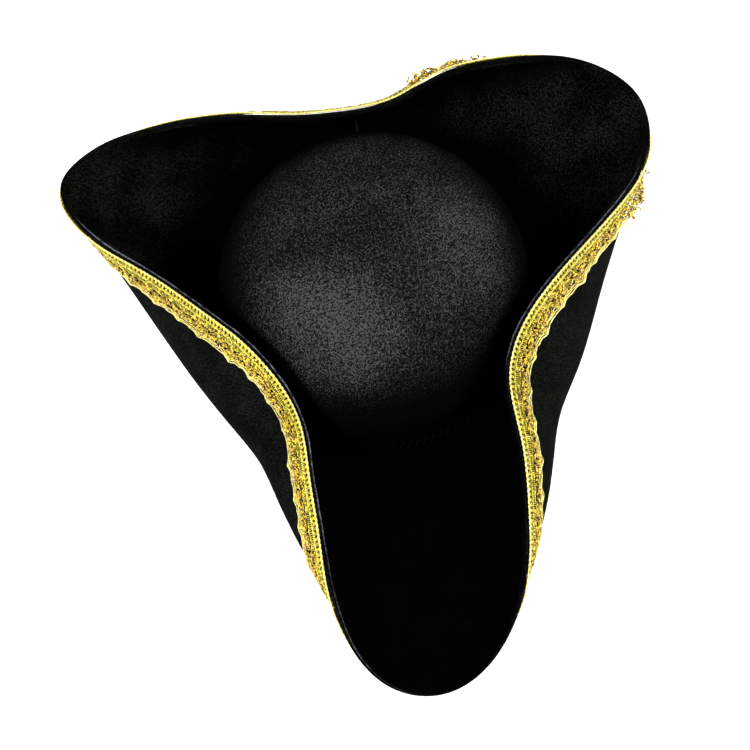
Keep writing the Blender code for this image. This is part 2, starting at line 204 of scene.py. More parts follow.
def camera():
    azimuth, elevation = math.radians(CAMERA_AZIMUTH), math.radians(CAMERA_ELEVATION)
    target = Vector((AXIS.x + CAMERA_AIM[0], AXIS.y + CAMERA_AIM[1], CAMERA_AIM[2]))
    back = Vector((
        math.sin(azimuth) * math.cos(elevation),
        -math.cos(azimuth) * math.cos(elevation),
        math.sin(elevation),
    ))
    data = bpy.data.cameras.new("camera")
    data.lens = LENS
    data.sensor_width = SENSOR
    data.clip_start = 0.05
    data.clip_end = 20
    obj = linked("camera", data)
    obj.location = target + back * CAMERA_DISTANCE
    obj.rotation_euler = (-back).to_track_quat("-Z", "Y").to_euler()
    bpy.context.scene.camera = obj


# -------------------- node graphs

class Graph:
    """A material with a Principled shader, and short ways to add the nodes that drive it."""

    def __init__(self, name):
        self.material = bpy.data.materials.new(name)
        self.material.use_nodes = True
        self.tree = self.material.node_tree
        self.shader = self.tree.nodes["Principled BSDF"]
        geometry = self.tree.nodes.new("ShaderNodeNewGeometry")
        self.place = geometry.outputs["Position"]
        self.normal = geometry.outputs["Normal"]

    def put(self, socket, value):
        if isinstance(value, bpy.types.NodeSocket):
            self.tree.links.new(value, socket)
        else:
            socket.default_value = value

    def set(self, **values):
        for name, value in values.items():
            self.put(self.shader.inputs[name.replace("_", " ")], value)
        return self.material

    def math(self, operation, a, b=0.0):
        node = self.tree.nodes.new("ShaderNodeMath")
        node.operation = operation
        self.put(node.inputs[0], a)
        self.put(node.inputs[1], b)
        return node.outputs[0]

    def plus(self, a, b):
        return self.math("ADD", a, b)

    def times(self, a, b):
        return self.math("MULTIPLY", a, b)

    def vector(self, operation, a, b=(0, 0, 0)):
        node = self.tree.nodes.new("ShaderNodeVectorMath")
        node.operation = operation
        self.put(node.inputs[0], a)
        self.put(node.inputs[1], b)
        scalar = operation in ("DOT_PRODUCT", "LENGTH")
        return node.outputs["Value" if scalar else "Vector"]

    def noise(self, scale, detail=2.0, roughness=0.5, at=None):
        node = self.tree.nodes.new("ShaderNodeTexNoise")
        node.inputs["Scale"].default_value = scale
        node.inputs["Detail"].default_value = detail
        node.inputs["Roughness"].default_value = roughness
        self.put(node.inputs["Vector"], self.place if at is None else at)
        return node.outputs["Fac"]

    def span(self, value, low, high, out_low=0.0, out_high=1.0):
        node = self.tree.nodes.new("ShaderNodeMapRange")
        node.interpolation_type = "SMOOTHSTEP"
        for socket, number in zip(node.inputs, (value, low, high, out_low, out_high)):
            self.put(socket, number)
        return node.outputs[0]

    def mix(self, share, a, b):
        node = self.tree.nodes.new("ShaderNodeMix")
        node.data_type = "RGBA"
        self.put(node.inputs["Factor"], share)
        self.put(node.inputs[6], a if isinstance(a, bpy.types.NodeSocket) else (*a, 1))
        self.put(node.inputs[7], b if isinstance(b, bpy.types.NodeSocket) else (*b, 1))
        return node.outputs[2]

    def bump(self, height, distance, strength=1.0):
        node = self.tree.nodes.new("ShaderNodeBump")
        node.inputs["Distance"].default_value = distance
        node.inputs["Strength"].default_value = strength
        self.put(node.inputs["Height"], height)
        self.put(self.shader.inputs["Normal"], node.outputs[0])

    def axes(self, vector):
        node = self.tree.nodes.new("ShaderNodeSeparateXYZ")
        self.put(node.inputs[0], vector)
        return node.outputs

    def fibres(self, scale, half_length, half_width, offset):
        """From 0 to 1 where a short fibre lies: one in each cell, at its own angle and brightness."""
        at = self.vector("ADD", self.place, (offset, 2 * offset, -offset))
        cell = self.tree.nodes.new("ShaderNodeTexVoronoi")
        cell.inputs["Scale"].default_value = scale
        self.put(cell.inputs["Vector"], at)
        away = self.vector("SUBTRACT", at, cell.outputs["Position"])
        turn = self.vector("SUBTRACT", cell.outputs["Color"], (0.5, 0.5, 0.5))
        lay = self.vector("NORMALIZE", self.vector("CROSS_PRODUCT", self.normal, turn))
        side = self.vector("CROSS_PRODUCT", self.normal, lay)
        run = self.math("ABSOLUTE", self.vector("DOT_PRODUCT", away, lay))
        off = self.math("ABSOLUTE", self.vector("DOT_PRODUCT", away, side))
        near = self.span(run, half_length, half_length * 0.5)
        shape = self.times(near, self.span(off, half_width, 0.0))
        brightness = self.span(self.axes(cell.outputs["Color"])[0], 0.0, 1.0, 0.15, 1.0)
        return self.times(shape, brightness)


# -------------------- materials

def crown_felt_material():
    """Coarse wool felt: short pale fibres over a dark ground, with painted shade darkening it down the
    wall towards the crown's foot and two painted pools of light on the dome.
    """
    g = Graph("crown_felt")
    layers = (
        (340, 0.0014, 0.00054, 0.0),
        (430, 0.0011, 0.00046, 0.31),
        (540, 0.0009, 0.00040, 0.57),
        (380, 0.0013, 0.00046, 0.83),
        (700, 0.0007, 0.00034, 0.19),
    )
    nap = 0.0
    for layer in layers:
        nap = g.plus(nap, g.fibres(*layer))
    fine = g.noise(1900, 3, 0.7)
    patches = g.span(g.noise(34, 2), 0.3, 0.7, 0.8, 1.15)
    # Painted shade: the felt darkens down the crown's wall towards its foot.
    wear_and_painted_light = g.span(g.axes(g.place)[2], 0.060, 0.099, 0.13, 1.0)
    # Two painted pools of light on the dome: one in front towards -X, one towards +X.
    painted_light_pools = ((-0.040, -0.052, 0.062, 1.5), (0.062, -0.012, 0.050, 0.8))
    for x, y, reach, gain in painted_light_pools:
        away = g.vector("LENGTH", g.vector("SUBTRACT", g.place, (AXIS.x + x, AXIS.y + y, 0.088)))
        wear_and_painted_light = g.times(wear_and_painted_light, g.span(away, reach * 0.25, reach, 1 + gain, 1.0))
    ground = g.times(g.span(fine, 0.42, 0.72), 0.30)
    light = g.plus(g.times(nap, 0.55), ground)
    light = g.times(g.times(light, patches), wear_and_painted_light)
    colour = g.mix(g.span(light, 0.0, 1.25), (0.0004, 0.0005, 0.0005), (0.036, 0.0395, 0.0380))
    g.bump(g.plus(nap, g.times(fine, 0.6)), 0.0002, 0.7)
    return g.set(Base_Color=colour, Roughness=0.95, Specular_IOR_Level=0.01)


def brim_felt_material(name, dark, light, grain, gloss, painted_gutter_light=False):
    """Black felt. With painted gutter light it is paler towards the points and behind the crown:
    painted highlight bands in the back gutters, and painted shade near the crown and at the front.
    """
    g = Graph(name)
    nap = g.math("MAXIMUM", g.fibres(520, 0.0010, 0.00026, 0.12), g.fibres(840, 0.0007, 0.00020, 0.44))
    fine = g.noise(2400, 3)
    patches = g.span(g.noise(45, 2), 0.3, 0.7, 0.6, 1.2)
    share = g.times(g.plus(nap, g.times(fine, 0.3)), patches)
    # Painted highlight bands towards the points behind the crown, and painted shade near the crown and
    # at the front.
    if painted_gutter_light:
        from_axis = g.vector("SUBTRACT", g.place, tuple(AXIS))
        reach = g.vector("LENGTH", g.vector("MULTIPLY", from_axis, (1, 1, 0)))
        outside = g.span(reach, 0.108, 0.150, 0.06, 1.0)
        behind = g.span(g.axes(g.place)[1], AXIS.y - 0.13, AXIS.y + 0.02, 0.25, 1.0)
        share = g.times(share, g.times(outside, behind))
    colour = g.mix(g.span(share, 0.1, 1.1), dark, light)
    g.bump(g.plus(nap, g.times(fine, 0.5)), grain, 0.8)
    return g.set(Base_Color=colour, Roughness=0.9, Specular_IOR_Level=gloss)


def inner_felt_material():
    dark, light = (0.0002, 0.0002, 0.0002), (0.013, 0.0155, 0.012)
    return brim_felt_material("brim_inner_felt", dark, light, 0.0002, 0.004, True)


def outer_felt_material():
    dark, light = (0.0004, 0.0005, 0.0004), (0.0145, 0.0168, 0.0142)
    return brim_felt_material("brim_outer_felt", dark, light, 0.00025, 0.01)


def core_material():
    """Stiffened interlining: its cut edge is pale grey in broken patches round the sides listed in
    CORE_SHOWS, less so on the +X flap as painted shade, and black elsewhere.
    """
    g = Graph("core_board")
    x, y, _ = g.axes(g.vector("SUBTRACT", g.place, tuple(AXIS)))
    azimuth = g.math("DEGREES", g.math("ARCTAN2", x, g.times(y, -1.0)))
    shown = 0.0
    for centre, reach, share in CORE_SHOWS:
        gap = g.math("ABSOLUTE", g.math("SUBTRACT", azimuth, float(centre)))
        shown = g.math("MAXIMUM", g.span(gap, reach + 4.0, reach - 4.0, 0.0, share), shown)
    broken = g.span(g.noise(300, 3, 0.7), 0.40, 0.56, 0.25, 1.0)
    shade = g.span(g.noise(700, 3, 0.6), 0.35, 0.65, 0.35, 1.0)
    shown = g.times(g.times(shown, broken), shade)
    colour = g.mix(shown, (0.0008, 0.0008, 0.0009), (0.185, 0.180, 0.235))
    g.bump(g.noise(1800, 3), 0.0002, 0.8)
    return g.set(Base_Color=colour, Roughness=0.95, Specular_IOR_Level=0.02)


def metal_thread(name, shadow, body, glint, metallic, roughness, mottled=0.3):
    """Twisted metallic thread: fine twist lines and mottled patches with painted shade between them,
    and scattered painted glints.
    """
    g = Graph(name)
    twist = g.noise(1500, 2, 0.6)
    patches = g.noise(620, 1, 0.5)
    shade = g.plus(g.times(twist, 1 - mottled), g.times(patches, mottled))
    shade = g.span(shade, 0.42, 0.575)
    # Painted shade: the shadow colour between the twist lines and in the mottled patches.
    colour = g.mix(shade, shadow, body)
    # Painted glints: scattered specks of the glint colour.
    painted_glints = g.span(g.noise(2300, 1), 0.60, 0.72)
    colour = g.mix(painted_glints, colour, glint)
    g.bump(twist, 0.00025, 0.9)
    return g.set(Base_Color=colour, Metallic=metallic, Roughness=roughness, Specular_IOR_Level=0.5)


def bright_gold_material():
    shadow, body, glint = (0.055, 0.028, 0.0005), (0.70, 0.60, 0.028), (1.0, 0.93, 0.32)
    return metal_thread("bright_gold", shadow, body, glint, 0.45, 0.38)


def bronze_gold_material():
    shadow, body, glint = (0.018, 0.005, 0.0005), (0.66, 0.43, 0.020), (1.0, 0.84, 0.20)
    return metal_thread("bronze_gold", shadow, body, glint, 0.55, 0.34, 0.85)


def cream_gold_material():
    shadow, body, glint = (0.36, 0.26, 0.030), (0.80, 0.71, 0.20), (1.0, 0.97, 0.62)
    return metal_thread("cream_gold", shadow, body, glint, 0.30, 0.40)


def black_thread_material():
    g = Graph("black_thread")
    twist = g.noise(1700, 2, 0.6)
    colour = g.mix(g.span(twist, 0.35, 0.65), (0.0003, 0.0003, 0.0003), (0.0015, 0.0015, 0.0017))
    g.bump(twist, 0.0002, 0.8)
    return g.set(Base_Color=colour, Roughness=0.8, Specular_IOR_Level=0.04)


def sweatband_material():
    """Grosgrain tape: its upright ribs are in the mesh, so only the yarn and its wear are here."""
    g = Graph("sweatband_cloth")
    yarn = g.noise(1500, 3, 0.6)
    wear_and_painted_light = g.span(g.noise(55, 2), 0.4, 0.75)
    colour = g.mix(g.span(yarn, 0.3, 0.7), (0.006, 0.006, 0.007), (0.022, 0.022, 0.025))
    colour = g.mix(g.times(wear_and_painted_light, 0.35), colour, (0.040, 0.040, 0.043))
    g.bump(yarn, 0.00015, 0.8)
    g.set(Base_Color=colour, Roughness=0.62, Specular_IOR_Level=0.35)
    return g.set(Sheen_Weight=0.15, Sheen_Roughness=0.4)


def label_material():
    """Satin: its fine threads stand upright and shine."""
    g = Graph("label_satin")
    warp = g.noise(900, 2, 0.5, g.vector("MULTIPLY", g.place, (1, 1, 0.12)))
    colour = g.mix(g.span(warp, 0.3, 0.7), (0.62, 0.61, 0.57), (0.82, 0.81, 0.77))
    g.bump(warp, 0.0001, 0.6)
    shine = g.span(warp, 0.3, 0.7, 0.5, 0.32)
    return g.set(Base_Color=colour, Roughness=shine, Specular_IOR_Level=0.5)


def floor_material():
    g = Graph("floor")
    colour = g.mix(g.span(g.noise(3, 2), 0.3, 0.7), (0.88, 0.88, 0.88), (0.90, 0.90, 0.90))
    return g.set(Base_Color=colour, Roughness=0.9, Specular_IOR_Level=0.1)


# -------------------- mesh building

def finished(name, places, quads, material, slot, *nodes):
    """A smooth mesh of quads that rides on the hat and stands for these CAD nodes."""
    places, quads = np.asarray(places, float).reshape(-1, 3), np.asarray(quads).reshape(-1, 4)
    mesh = bpy.data.meshes.new(name)
    mesh.vertices.add(len(places))
    mesh.vertices.foreach_set("co", places.astype(np.float32).ravel())
    mesh.loops.add(4 * len(quads))
    mesh.loops.foreach_set("vertex_index", quads.astype(np.int32).ravel())
    mesh.polygons.add(len(quads))
    mesh.polygons.foreach_set("loop_start", np.arange(0, 4 * len(quads), 4, dtype=np.int32))
    mesh.update(calc_edges=True)
    mesh.validate()
    mesh.shade_smooth()
    mesh.materials.append(material)
    obj = linked(name, mesh)
    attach(obj, "root")
    if nodes:
        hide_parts(*nodes)
    return obj


def round_angles(count):
    return np.arange(count) * 2 * math.pi / count


def joined(parts):
    """One (places, quads) from several."""
    places, quads, start = [], [], 0
    for some, corners in parts:
        places.append(some)
        quads.append(np.asarray(corners) + start)
        start += len(some)
    return np.vstack(places), np.vstack(quads)


def grid_quads(count, size, closed_along, closed_across):
    """Quads of a grid of count by size points, in rows of size."""
    i = np.arange(count if closed_along else count - 1)
    j = np.arange(size if closed_across else size - 1)
    i, j = [a.ravel() for a in np.meshgrid(i, j, indexing="ij")]
    k, m = (i + 1) % count, (j + 1) % size
    return np.stack([i * size + j, k * size + j, k * size + m, i * size + m], axis=1)


def tube(path, radius, sides=6, closed=False):
    """A round tube along path, with flat caps unless it is closed."""
    path = np.asarray(path, float)
    if closed:
        run = np.roll(path, -1, axis=0) - np.roll(path, 1, axis=0)
    else:
        run = np.gradient(path, axis=0)
    run /= np.linalg.norm(run, axis=1)[:, None] + 1e-12
    side = np.cross(run, (0.0, 0.0, 1.0))
    side /= np.linalg.norm(side, axis=1)[:, None] + 1e-12
    top = np.cross(side, run)
    angle = round_angles(sides)
    ring = side[:, None] * np.cos(angle)[None, :, None] + top[:, None] * np.sin(angle)[None, :, None]
    places = (path[:, None] + ring * radius).reshape(-1, 3)
    quads = grid_quads(len(path), sides, closed, True)[:, ::-1]
    if not closed:
        last = (len(path) - 1) * sides
        caps = [(0, j, j + 1, j + 2) for j in range(1, sides - 2, 2)]
        ends = [(last + d, last + c, last + b, last + a) for a, b, c, d in caps]
        quads = np.vstack([quads, caps, ends])
    return places, quads


def smooth_random(rng, count, spread):
    """Random numbers round a loop with neighbours alike."""
    waves = np.fft.rfft(rng.normal(size=count))
    waves *= np.exp(-(np.arange(len(waves)) / spread) ** 2)
    values = np.fft.irfft(waves, count)
    return values / (np.abs(values).max() + 1e-9)


# -------------------- brim shape

def direction(azimuth):
    return np.stack([np.sin(azimuth), -np.cos(azimuth), np.zeros_like(azimuth)], axis=-1)


def closed_spline(knots, values, at):
    """Smooth closed curve through values at knots, whose last knot is the first point again."""
    spans = np.diff(knots)
    count = len(spans)
    slopes = (np.roll(values, -1, axis=0) - values) / spans[:, None]
    system = np.zeros((count, count))
    for i in range(count):
        system[i, i - 1] = spans[i - 1]
        system[i, i] = 2 * (spans[i - 1] + spans[i])
        system[i, (i + 1) % count] = spans[i]
    bends = np.linalg.solve(system, 6 * (slopes - np.roll(slopes, 1, axis=0)))
    i = np.clip(np.searchsorted(knots, at, side="right") - 1, 0, count - 1)
    step = (at - knots[i])[:, None]
    span = spans[i][:, None]
    first, second = bends[i], bends[(i + 1) % count]
    start = slopes[i] - span * (2 * first + second) / 6
    return values[i] + step * start + step**2 * first / 2 + step**3 * (second - first) / (6 * span)


def along(points):
    return np.r_[0, np.cumsum(np.linalg.norm(np.diff(points, axis=0), axis=1))]


def brim_edge(count):
    """count places evenly along the brim's edge, the fold's belly at each, and the edge's length."""
    azimuth, reach, rise, belly = np.array(EDGE_POINTS).T
    places = direction(np.radians(azimuth)) * (HEAD_RADIUS + reach)[:, None]
    places[:, 2] = rise * FLAP_HEIGHT
    values = np.column_stack([places, belly])
    knots = along(np.vstack([places, places[:1]]))
    fine = closed_spline(knots, values, np.linspace(0, knots[-1], EDGE_SAMPLES * count + 1))
    length = along(fine[:, :3])
    wanted = np.arange(count) * length[-1] / count
    edge = np.column_stack([np.interp(wanted, length, column) for column in fine.T])
    return edge[:, :3], edge[:, 3], length[-1]


def evened(values):
    """values round the hat without their short waves."""
    waves = np.fft.rfft(values, axis=0)
    waves[EVENNESS + 1 :] = 0
    return np.fft.irfft(waves, len(values), axis=0)


def between(start, end, share):
    return start + (end - start) * share


def bezier(a, b, c, d, t):
    a, b, c, d = [corner[:, None] for corner in (a, b, c, d)]
    t = t[None, :, None]
    return (1 - t) ** 3 * a + 3 * (1 - t) ** 2 * t * b + 3 * (1 - t) * t**2 * c + t**3 * d


class Brim:
    """The brim's outer face, rib by rib from opening to edge. Its normals point up and in."""

    def __init__(self):
        edge, belly, self.length = brim_edge(RIBS)
        run = np.roll(edge, -1, axis=0) - np.roll(edge, 1, axis=0)
        outward = np.column_stack([run[:, 1], -run[:, 0], np.zeros(RIBS)])
        outward /= np.linalg.norm(outward, axis=1)[:, None]
        turned_up = np.clip((belly - OPEN_BELLY) / (FULL_BELLY - OPEN_BELLY), 0, 1)
        edge_azimuth = np.unwrap(np.arctan2(edge[:, 0], -edge[:, 1]))
        base_azimuth = (edge_azimuth + round_angles(RIBS)) / 2
        radial = direction(base_azimuth)
        flat_end = radial * (HEAD_RADIUS + FLAT_BAND)
        wall = edge + outward * belly[:, None]
        wall[:, 2] = edge[:, 2] * between(OPEN_FOLD_RISE, FULL_FOLD_RISE, turned_up)
        span = np.linalg.norm((wall - flat_end)[:, :2], axis=1)
        share = between(OPEN_FOLD_SWING, FULL_FOLD_SWING, turned_up)
        swing = flat_end + radial * (span * share)[:, None]
        steps = np.linspace(0, 1, FOLD_SAMPLES + 1)
        fine = bezier(flat_end, evened(swing), evened(wall), edge, steps)
        opening = radial * HEAD_RADIUS
        steps = np.linspace(0, 1, FLAT_SAMPLES + 1)[None, :-1, None]
        lead = opening[:, None] + (flat_end - opening)[:, None] * steps
        self.fine = np.concatenate([lead, fine], axis=1)
        self.fine += np.array([AXIS.x, AXIS.y, 0])
        self.azimuth = np.degrees(edge_azimuth)
        across = np.roll(self.fine, -1, axis=0) - np.roll(self.fine, 1, axis=0)
        normals = np.cross(np.gradient(self.fine, axis=1), across)
        self.fine_normals = normals / np.linalg.norm(normals, axis=2)[:, :, None]
        self.lengths = [along(rib) for rib in self.fine]
        self.rib_length = np.array([length[-1] for length in self.lengths])
        self.settle()
        self.lace_places, self.lace_normals = self.sampled(self.rib_length[:, None] - LACE_DEPTHS)

    def settle(self):
        """The small unevenness of a blocked brim: shallow waves between opening and edge, and tucks."""
        rng = np.random.default_rng(SEED)
        share = np.linspace(0, 1, self.fine.shape[1])[None, :]
        rise = np.sin(math.pi * np.clip(share * 1.15 - 0.1, 0, 1)) ** 2
        waves = smooth_random(rng, RIBS, 14)[:, None] * WAVE_HEIGHT
        tucks = smooth_random(rng, RIBS, 30)[:, None] * TUCK_HEIGHT * share
        self.fine = self.fine + self.fine_normals * (rise * waves + tucks)[:, :, None]
        self.fine[:, :, 2] = np.maximum(self.fine[:, :, 2], 0)

    def sampled(self, stations):
        """Places and normals at the distances stations[rib] along every rib."""
        places, normals = [], []
        for i, at in enumerate(stations):
            for sampled, fine in ((places, self.fine), (normals, self.fine_normals)):
                columns = [np.interp(at, self.lengths[i], column) for column in fine[i].T]
                sampled.append(np.column_stack(columns))
        normals = np.array(normals)
        return np.array(places), normals / np.linalg.norm(normals, axis=2)[:, :, None]

    def on_lace(self, flat):
        """Maps (u along the edge, v in from it, w out from the lace's floor) onto the brim."""
        u, v, w = np.asarray(flat, float).T
        s = (u / self.length * RIBS) % RIBS
        i = np.floor(s).astype(int) % RIBS
        k, f = (i + 1) % RIBS, (s - np.floor(s))[:, None]
        row = v / LACE_DEPTHS[1]
        j = np.clip(np.floor(row).astype(int), 0, len(LACE_DEPTHS) - 2)
        g = (row - j)[:, None]

        def blended(grid):
            near = grid[i, j] * (1 - g) + grid[i, j + 1] * g
            far = grid[k, j] * (1 - g) + grid[k, j + 1] * g
            return near * (1 - f) + far * f

        normal = blended(self.lace_normals)
        normal /= np.linalg.norm(normal, axis=1)[:, None]
        return blended(self.lace_places) - normal * (LACE_FLOOR + w)[:, None]


# -------------------- brim plies

def brim_ply(brim, name, bottom, thickness, inset, material, slot, node):
    """One ply as a closed ring with rounded rims. inset, one per rib, holds its edge back."""
    radius = thickness / 2
    stations = np.r_[0, 0.4, np.linspace(1, ROWS, ROWS)] / ROWS
    room = brim.rib_length - 2 * radius - inset
    places, normals = brim.sampled(radius + stations * room[:, None])
    out = np.gradient(places, axis=1)
    out /= np.linalg.norm(out, axis=2)[:, :, None]
    middle = places + normals * (bottom + radius)
    lower, upper = middle - normals * radius, middle + normals * radius
    rim, foot = [], []
    for turn in np.linspace(-math.pi / 2, math.pi / 2, RIM_STEPS + 2)[1:-1]:
        up, outward = radius * math.sin(turn), radius * math.cos(turn)
        rim.append(middle[:, -1] + normals[:, -1] * up + out[:, -1] * outward)
        foot.append(middle[:, 0] - normals[:, 0] * up - out[:, 0] * outward)
    sections = np.concatenate([lower, np.stack(rim, 1), upper[:, ::-1], np.stack(foot, 1)], axis=1)
    quads = grid_quads(RIBS, sections.shape[1], True, True)
    return finished(name, sections, quads, material, slot, node)


def core_inset():
    """How far the core's edge is held back at each rib: a little, and unevenly."""
    rng = np.random.default_rng(SEED + 3)
    return CORE_HELD_BACK * (1 + smooth_random(rng, RIBS, 140))


# -------------------- crown

def crown_profile(inset):
    """(radius, height) up the crown's wall and over its dome, this far in from the outer face."""
    radius, rise = HEAD_RADIUS + CROWN_FELT - inset, CROWN_DOME - inset
    heights = np.linspace(CROWN_FOOT + 0.0006, CROWN_FOOT + CROWN_WALL, 7)[:-1]
    side = [(radius, height) for height in heights]
    for angle in np.linspace(0, math.pi / 2, CROWN_STEPS)[:-1]:
        height = CROWN_FOOT + CROWN_WALL + rise * math.sin(angle)
        side.append((radius * math.cos(angle) ** CROWN_FULLNESS, height))
    side.append((0.0012, CROWN_FOOT + CROWN_WALL + rise))
    return np.array(side)


def crown(material):
    """The blocked felt crown, hollow, with a rounded foot and the shallow dents of soft felt."""
    outer, inner = crown_profile(0), crown_profile(CROWN_FELT)
    rim = [(HEAD_RADIUS + 0.0018, CROWN_FOOT), (HEAD_RADIUS + 0.0007, CROWN_FOOT)]
    profile = np.vstack([outer[::-1], rim, inner])
    angle = round_angles(CROWN_SIDES)
    turns = direction(angle)
    places = turns[:, None] * profile[None, :, :1]
    places[:, :, 2] = profile[None, :, 1]
    height = (places[:, :, 2] - CROWN_FOOT) / (CROWN_WALL + CROWN_DOME)
    calm = np.clip(height * 3, 0, 1) * np.clip((1 - height) * 4, 0, 1)
    dents = (0.5 * np.cos(2 * angle + 0.7)[:, None] * np.sin(3.1 * height)
             + 0.3 * np.cos(5 * angle + 2.0)[:, None] * np.sin(6 * height + 1)
             + 0.2 * np.cos(9 * angle)[:, None] * np.cos(8 * height))
    places += turns[:, None] * (dents * calm * DENT_DEPTH)[:, :, None]
    places += np.array([AXIS.x, AXIS.y, 0])
    size = len(profile)
    quads = grid_quads(CROWN_SIDES, size, True, False)[:, ::-1]
    caps = []
    for column, turn in ((0, 1), (size - 1, -1)):
        ids = np.arange(CROWN_SIDES) * size + column
        for i in range(1, CROWN_SIDES // 2):
            caps.append([ids[i], ids[i - 1], ids[-i], ids[-i - 1]][::-turn])
    quads = np.vstack([quads, caps])
    return finished("crown_shell", places.reshape(-1, 3), quads, material, "crown_felt", "crown_felt")


# -------------------- lace

class Lace:
    """Places lace motifs along the brim's edge. Motifs are drawn flat, as (u, v, w) in metres."""

    def __init__(self, brim):
        self.brim = brim
        self.pitch = brim.length / SHELLS
        rng = np.random.default_rng(SEED + 1)
        tips = (np.arange(SHELLS) + 0.5) * RIBS / SHELLS
        self.azimuth = np.interp(tips, np.arange(RIBS), brim.azimuth)
        self.drop = rng.normal(0, 0.00095, SHELLS)
        for centre, width, depth in SAGGING_LACE:
            self.drop += depth * np.exp(-((self.azimuth - centre) / width) ** 2)
        self.lean = rng.normal(0, 0.00200, SHELLS)
        self.flutter = self.fluttering()

    def fluttering(self):
        """How far each shell's tip stands away from the brim, more where the lace has come loose."""
        rng = np.random.default_rng(SEED + 2)
        tips = np.abs(rng.normal(0, 0.0005, SHELLS))
        for centre, width, height in LOOSE_LACE + SLACK_LACE:
            gap = (self.azimuth - centre + 180) % 360 - 180
            tips += height * np.exp(-(gap / width) ** 2) * rng.uniform(0.5, 1.2, SHELLS)
        return tips

    def set_in(self, u):
        """How far the lace lies in from the brim's edge at u along it."""
        ribs = u / self.brim.length * RIBS
        azimuth = np.interp(ribs, np.arange(RIBS + 1), np.r_[self.brim.azimuth, 360])
        inset = np.zeros(len(u))
        for centre, reach, depth in LACE_SET_IN:
            gap = np.abs((azimuth - centre + 180) % 360 - 180)
            inset = np.maximum(inset, depth * np.clip((reach - gap) / 10 + 0.5, 0, 1))
        return inset

    def varied(self, flat):
        """flat with each repeat's own drop, lean and lift, which grow with depth."""
        u, v, w = flat.T
        s = u / self.pitch - 0.5
        i = np.floor(s).astype(int)
        f = s - i
        f = f * f * (3 - 2 * f)
        deep = np.clip((v - 0.006) / 0.013, 0, 1.3)

        def at(values):
            return values[i % SHELLS] * (1 - f) + values[(i + 1) % SHELLS] * f

        return np.column_stack([
            u + at(self.lean) * deep,
            v + at(self.drop) * deep + self.set_in(u),
            w + at(self.flutter) * deep ** 1.5,
        ])

    def sewn(self, name, parts, material, *nodes):
        """Lays the flat parts on the brim as one piece."""
        flat, quads = joined(parts)
        places = self.brim.on_lace(self.varied(flat))
        return finished(name, places, quads, material, "gold_lace", *nodes)

    def repeated(self, motif, count=SHELLS):
        """The motif, which lies in a cell that starts at u = 0, once in each of count cells."""
        places, quads = joined(motif)
        cell = self.brim.length / count
        return [(places + (i * cell, 0, 0), quads) for i in range(count)]

    def cord(self, depth, lift, radius, per_shell):
        """A closed cord all round. depth and lift are functions of the share of a repeat, whose
        shell is at 0.5."""
        count = SHELLS * per_shell
        s = np.arange(count) / per_shell
        share = s % 1
        path = np.column_stack([s * self.pitch, depth(share), lift(share)])
        return tube(path, radius, closed=True)


def level(height):
    """A cord's lift that is the same all along it."""
    return lambda share: np.full_like(share, height)


def picot(lace, material):
    """The looped cord at the brim's edge."""
    def depth(share):
        return PICOT_DEPTH - PICOT_LOOP * np.abs(np.sin(math.pi * share * EYELETS)) ** 0.7
    cord = lace.cord(depth, level(0.00060), PICOT_RADIUS, EYELETS * 8)
    return lace.sewn("picot_edging", [cord], material, "lace_picot_cord")


def eyelet_cell(width):
    """A puffed cell of the heading with an oval eyelet through it, as a closed ring."""
    turns = round_angles(EYELET_SIDES)
    circle = np.column_stack([np.cos(turns), np.sin(turns)])
    square = circle / np.abs(circle).max(axis=1)[:, None]
    centre = np.array([width / 2, EYELET_DEPTH])
    half = np.array([width / 2, EYELET_HALF])
    hole = np.array(EYELET_HOLE)
    rings = (
        (circle, hole, 0),
        (circle, hole, 0.00055),
        (circle, hole * 1.20, 0.00095),
        ((circle + square) / 2, half * 0.84, 0.00092),
        (square, half, 0.00062),
        (square, half, 0),
    )
    places = [
        np.column_stack([centre + outline * size, np.full(EYELET_SIDES, lift)])
        for outline, size, lift in rings
    ]
    return np.vstack(places), grid_quads(len(rings), EYELET_SIDES, True, True)[:, ::-1]


def heading(lace, material):
    """The lace's sewn edge: a row of eyelets and two close cords."""
    parts = lace.repeated([eyelet_cell(lace.pitch / EYELETS)], SHELLS * EYELETS)
    for i, middle in enumerate(HEADING_CORDS):
        def depth(share, middle=middle, i=i):
            return middle + 0.00008 * np.sin(2 * math.pi * (share * 11 + i / 3))
        def lift(share, i=i):
            return 0.00050 + 0.00010 * np.sin(2 * math.pi * (share * 14 + i / 2))
        parts.append(lace.cord(depth, lift, HEADING_CORD_RADIUS, 28))
    return lace.sewn("lace_heading_band", parts, material, "lace_heading")


def crossing(pitch, radii, depths, shifts, lifts):
    """Short threads across the lace, one for each radius, evenly along a repeat."""
    parts = []
    for i, radius in enumerate(radii):
        u = (i + 0.5) * pitch / len(radii)
        path = np.column_stack([u + np.array(shifts), depths, np.array(lifts)])
        parts.append(tube(path, radius))
    return parts


def ladder(pitch):
    """Bars between the heading and the gimp, thick ones at the repeat's ends and middle."""
    radii = [THICK_BAR_RADIUS if i % (BARS // 2) == 0 else BAR_RADIUS for i in range(BARS)]
    return crossing(pitch, radii, BAR_DEPTHS, (0, 0.0002, 0.0005), (0.0004, 0.00066, 0.0004))


def spiral(centre, inner, outer, turns, start, radius, lift, wide=1.0, sides=6):
    """A curl of thread that winds out from its centre."""
    angle = np.linspace(start, start + turns * 2 * math.pi, int(turns * 14) + 1)
    reach = np.linspace(inner, outer, len(angle))
    path = np.column_stack([
        centre[0] + np.cos(angle) * reach * wide,
        centre[1] + np.sin(angle) * reach,
        lift + 0.00025 * np.sin(angle * 2.3),
    ])
    return tube(path, radius, sides)


